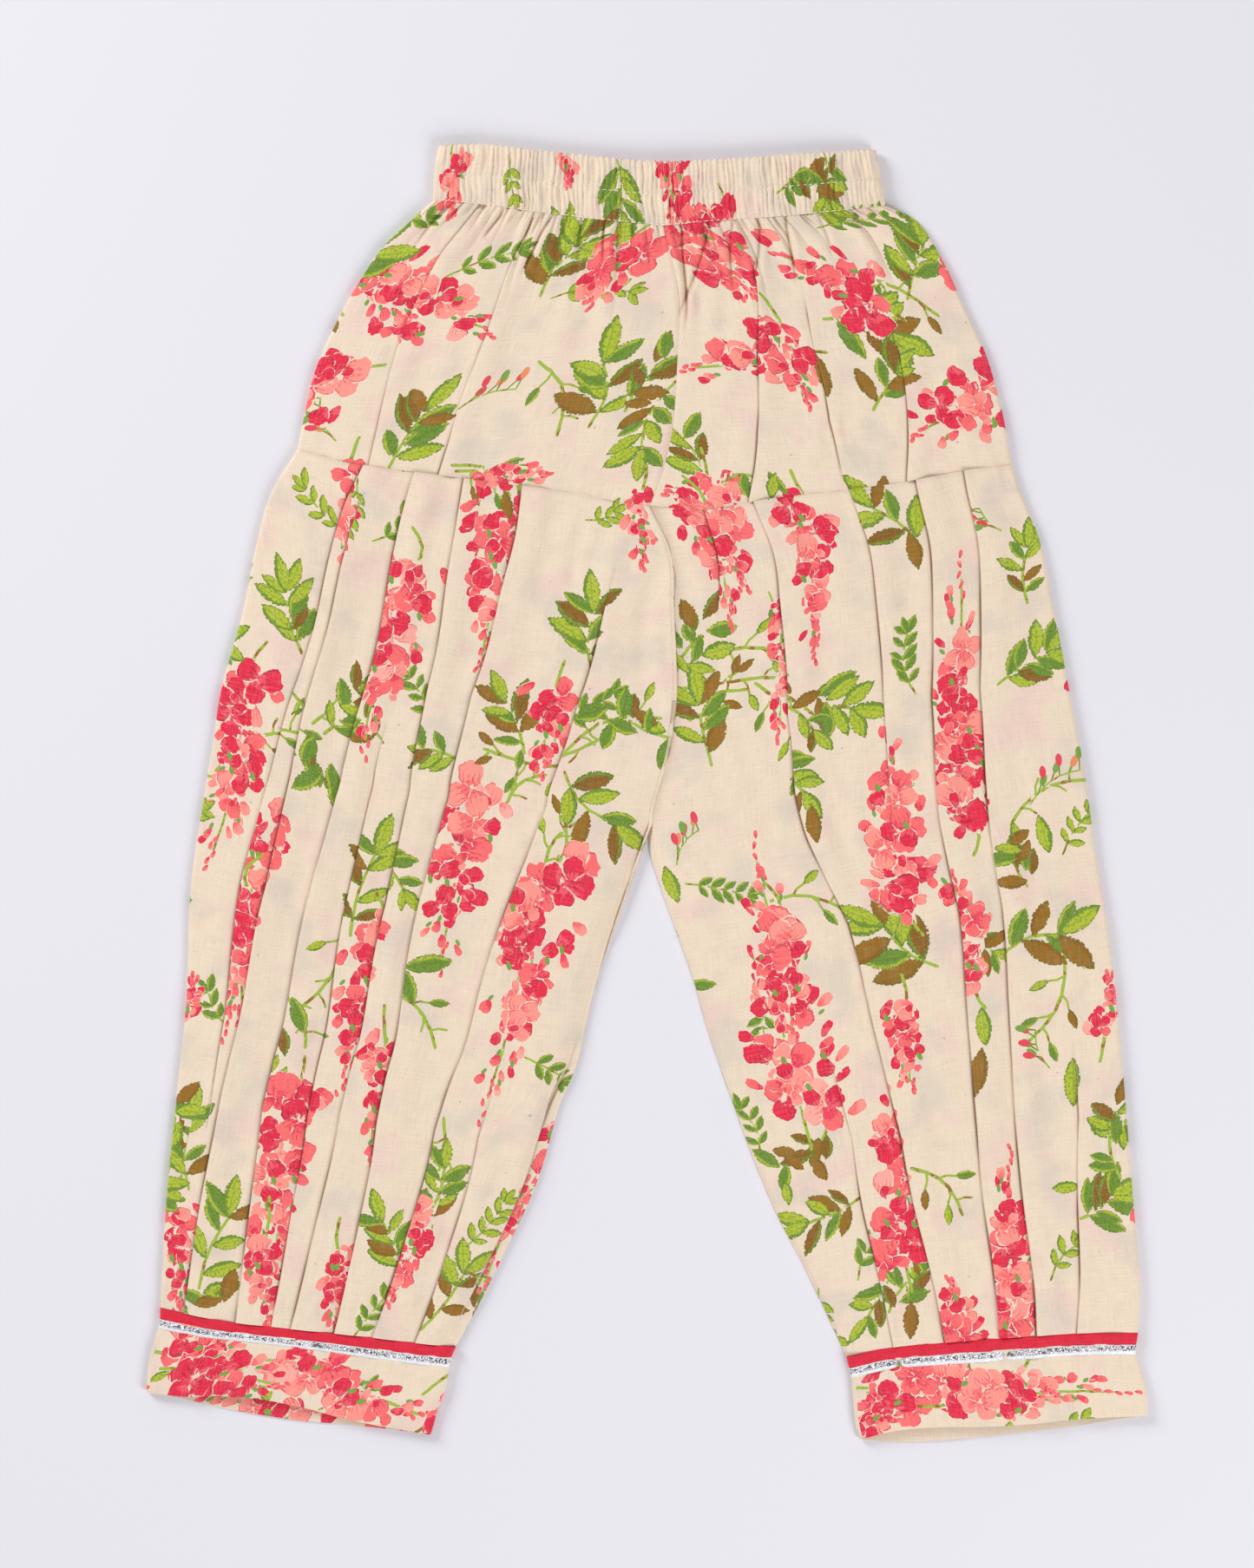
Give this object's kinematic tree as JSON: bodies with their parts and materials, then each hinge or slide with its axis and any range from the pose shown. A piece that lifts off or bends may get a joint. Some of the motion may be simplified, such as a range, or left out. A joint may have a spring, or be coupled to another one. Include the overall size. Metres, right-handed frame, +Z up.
{
  "type": "patiala salwar",
  "caption": "Child's patiala salwar laid flat: elastic waist casing, fitted yoke, wide pleated legs and banded ankle cuffs, in flower-printed cotton.",
  "frame": {"origin": "middle of the whole garment's box, on the surface that it lies on", "axes": "+X to the right seen from above, +Y from the cuffs to the waist, +Z up from the surface"},
  "size_m": [0.4954, 0.641, 0.0094],
  "materials": {
    "printed_cotton": "matt cotton cambric, cream with a printed flower and leaf pattern",
    "red_piping": "plain red cotton",
    "metallic_ribbon": "silver metallic woven ribbon"
  },
  "bodies": {
    "root": {"waist_casing": "printed_cotton", "yoke_left": "printed_cotton", "yoke_right": "printed_cotton", "leg_left": "printed_cotton", "leg_right": "printed_cotton", "piping_left": "red_piping", "piping_right": "red_piping", "ribbon_left": "metallic_ribbon", "ribbon_right": "metallic_ribbon", "cuff_left": "printed_cotton", "cuff_right": "printed_cotton"}
  },
  "joints": []
}
